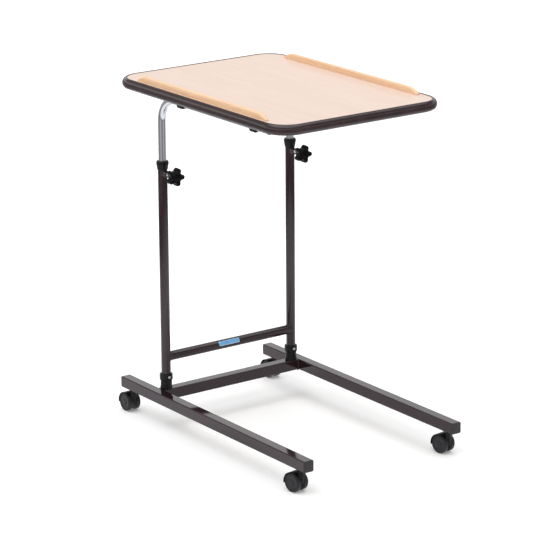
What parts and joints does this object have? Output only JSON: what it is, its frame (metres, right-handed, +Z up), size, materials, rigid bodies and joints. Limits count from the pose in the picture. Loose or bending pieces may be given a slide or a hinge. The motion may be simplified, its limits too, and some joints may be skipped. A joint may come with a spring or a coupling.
{
  "type": "overbed table",
  "caption": "Wheeled overbed table: lipped laminate top on clamped telescopic risers above an open-fronted castor base, adjustable in height and tilt.",
  "frame": {"origin": "on the floor, under the middle of the bounding box", "axes": "+Z up, X across the base, Y along the rails; the open front of the base points to -Y and the posts stand towards +Y"},
  "size_m": [0.42, 0.676, 0.755],
  "materials": {
    "lacquer": "glossy very dark brown stove lacquer on steel tube",
    "chrome": "bright chrome plate",
    "zinc": "bright zinc plate",
    "black_plastic": "satin black moulding",
    "castor_plastic": "satin black nylon",
    "nylon": "natural nylon",
    "laminate": "pale beech-effect laminate on chipboard",
    "edging": "dark brown satin edging strip",
    "beech": "lacquered beech",
    "sticker": "plain light blue paper label, blank"
  },
  "bodies": {
    "base": {"left_rail": "lacquer", "left_front_end_cap": "black_plastic", "left_rear_end_cap": "black_plastic", "left_socket_stub": "lacquer", "left_socket_sleeve": "black_plastic", "left_lock_screw": "zinc", "left_post": "lacquer", "left_post_collar": "black_plastic", "left_weld_nut": "lacquer", "right_rail": "lacquer", "right_front_end_cap": "black_plastic", "right_rear_end_cap": "black_plastic", "right_socket_stub": "lacquer", "right_socket_sleeve": "black_plastic", "right_lock_screw": "zinc", "right_post": "lacquer", "right_post_collar": "black_plastic", "right_weld_nut": "lacquer", "crossbeam": "lacquer", "mid_crossbar": "lacquer", "blank_sticker": "sticker", "left_front_caster_stem": "zinc", "left_rear_caster_stem": "zinc", "right_front_caster_stem": "zinc", "right_rear_caster_stem": "zinc"},
    "left_leg": {"left_riser": "chrome", "left_arm_plug": "black_plastic", "left_foot_bush": "nylon"},
    "left_stud": {"left_clamp_stud": "zinc"},
    "left_knob": {"left_clamp_knob": "black_plastic"},
    "right_leg": {"right_riser": "chrome", "right_arm_plug": "black_plastic", "right_foot_bush": "nylon"},
    "right_stud": {"right_clamp_stud": "zinc"},
    "right_knob": {"right_clamp_knob": "black_plastic"},
    "top": {"table_top_board": "laminate", "edging_strip": "edging", "left_lip": "beech", "right_lip": "beech", "left_rear_tube_clip": "black_plastic", "left_front_tube_clip": "black_plastic", "right_rear_tube_clip": "black_plastic", "right_front_tube_clip": "black_plastic"},
    "left_front_caster_fork": {"left_front_caster_housing": "castor_plastic", "left_front_caster_axle": "zinc"},
    "left_front_caster_a": {"left_front_caster_wheel_a": "castor_plastic"},
    "left_front_caster_b": {"left_front_caster_wheel_b": "castor_plastic"},
    "left_rear_caster_fork": {"left_rear_caster_housing": "castor_plastic", "left_rear_caster_axle": "zinc"},
    "left_rear_caster_a": {"left_rear_caster_wheel_a": "castor_plastic"},
    "left_rear_caster_b": {"left_rear_caster_wheel_b": "castor_plastic"},
    "right_front_caster_fork": {"right_front_caster_housing": "castor_plastic", "right_front_caster_axle": "zinc"},
    "right_front_caster_a": {"right_front_caster_wheel_a": "castor_plastic"},
    "right_front_caster_b": {"right_front_caster_wheel_b": "castor_plastic"},
    "right_rear_caster_fork": {"right_rear_caster_housing": "castor_plastic", "right_rear_caster_axle": "zinc"},
    "right_rear_caster_a": {"right_rear_caster_wheel_a": "castor_plastic"},
    "right_rear_caster_b": {"right_rear_caster_wheel_b": "castor_plastic"}
  },
  "joints": [
    {"name": "table_height", "type": "slide", "parent": "base", "child": "left_leg", "axis": [0, 0, 1], "range_m": [-0.05, 0.25]},
    {"name": "right_leg_slide", "type": "slide", "parent": "left_leg", "child": "right_leg", "axis": [0, 0, 1], "range_m": [-0.035, 0.035]},
    {"name": "table_tilt", "type": "hinge", "parent": "left_leg", "child": "top", "pos_m": [-0.165, 0.026, 0.713], "axis": [0, -1, 0], "range_deg": [-6, 6]},
    {"name": "left_clamp_travel", "type": "slide", "parent": "base", "child": "left_stud", "axis": [0, -1, 0], "range_m": [0, 0.0025]},
    {"name": "left_clamp_turn", "type": "hinge", "parent": "left_stud", "child": "left_knob", "pos_m": [-0.165, 0.16, 0.5495], "axis": [0, -1, 0], "range_deg": [0, 720]},
    {"name": "right_clamp_travel", "type": "slide", "parent": "base", "child": "right_stud", "axis": [0, -1, 0], "range_m": [0, 0.0025]},
    {"name": "right_clamp_turn", "type": "hinge", "parent": "right_stud", "child": "right_knob", "pos_m": [0.165, 0.16, 0.5495], "axis": [0, -1, 0], "range_deg": [0, 720]},
    {"name": "left_front_caster_swivel", "type": "hinge", "parent": "base", "child": "left_front_caster_fork", "pos_m": [-0.189, -0.31, 0.04], "axis": [0, 0, 1], "continuous": true},
    {"name": "left_front_caster_wheel_a_spin", "type": "hinge", "parent": "left_front_caster_fork", "child": "left_front_caster_a", "pos_m": [-0.19088, -0.29815, 0.02], "axis": [0.9877, 0.1564, 0], "continuous": true},
    {"name": "left_front_caster_wheel_b_spin", "type": "hinge", "parent": "left_front_caster_fork", "child": "left_front_caster_b", "pos_m": [-0.19088, -0.29815, 0.02], "axis": [0.9877, 0.1564, 0], "continuous": true},
    {"name": "left_rear_caster_swivel", "type": "hinge", "parent": "base", "child": "left_rear_caster_fork", "pos_m": [-0.189, 0.304, 0.04], "axis": [0, 0, 1], "continuous": true},
    {"name": "left_rear_caster_wheel_a_spin", "type": "hinge", "parent": "left_rear_caster_fork", "child": "left_rear_caster_a", "pos_m": [-0.189, 0.316, 0.02], "axis": [1, 0, 0], "continuous": true},
    {"name": "left_rear_caster_wheel_b_spin", "type": "hinge", "parent": "left_rear_caster_fork", "child": "left_rear_caster_b", "pos_m": [-0.189, 0.316, 0.02], "axis": [1, 0, 0], "continuous": true},
    {"name": "right_front_caster_swivel", "type": "hinge", "parent": "base", "child": "right_front_caster_fork", "pos_m": [0.189, -0.31, 0.04], "axis": [0, 0, 1], "continuous": true},
    {"name": "right_front_caster_wheel_a_spin", "type": "hinge", "parent": "right_front_caster_fork", "child": "right_front_caster_a", "pos_m": [0.18712, -0.29815, 0.02], "axis": [0.9877, 0.1564, 0], "continuous": true},
    {"name": "right_front_caster_wheel_b_spin", "type": "hinge", "parent": "right_front_caster_fork", "child": "right_front_caster_b", "pos_m": [0.18712, -0.29815, 0.02], "axis": [0.9877, 0.1564, 0], "continuous": true},
    {"name": "right_rear_caster_swivel", "type": "hinge", "parent": "base", "child": "right_rear_caster_fork", "pos_m": [0.189, 0.304, 0.04], "axis": [0, 0, 1], "continuous": true},
    {"name": "right_rear_caster_wheel_a_spin", "type": "hinge", "parent": "right_rear_caster_fork", "child": "right_rear_caster_a", "pos_m": [0.189, 0.316, 0.02], "axis": [1, 0, 0], "continuous": true},
    {"name": "right_rear_caster_wheel_b_spin", "type": "hinge", "parent": "right_rear_caster_fork", "child": "right_rear_caster_b", "pos_m": [0.189, 0.316, 0.02], "axis": [1, 0, 0], "continuous": true}
  ],
  "couplings": [
    {"joint": "right_leg_slide", "follows": "table_tilt", "m_per_rad": 0.33},
    {"joint": "left_clamp_turn", "follows": "left_clamp_travel", "rad_per_m": 5026.5},
    {"joint": "right_clamp_turn", "follows": "right_clamp_travel", "rad_per_m": 5026.5}
  ]
}
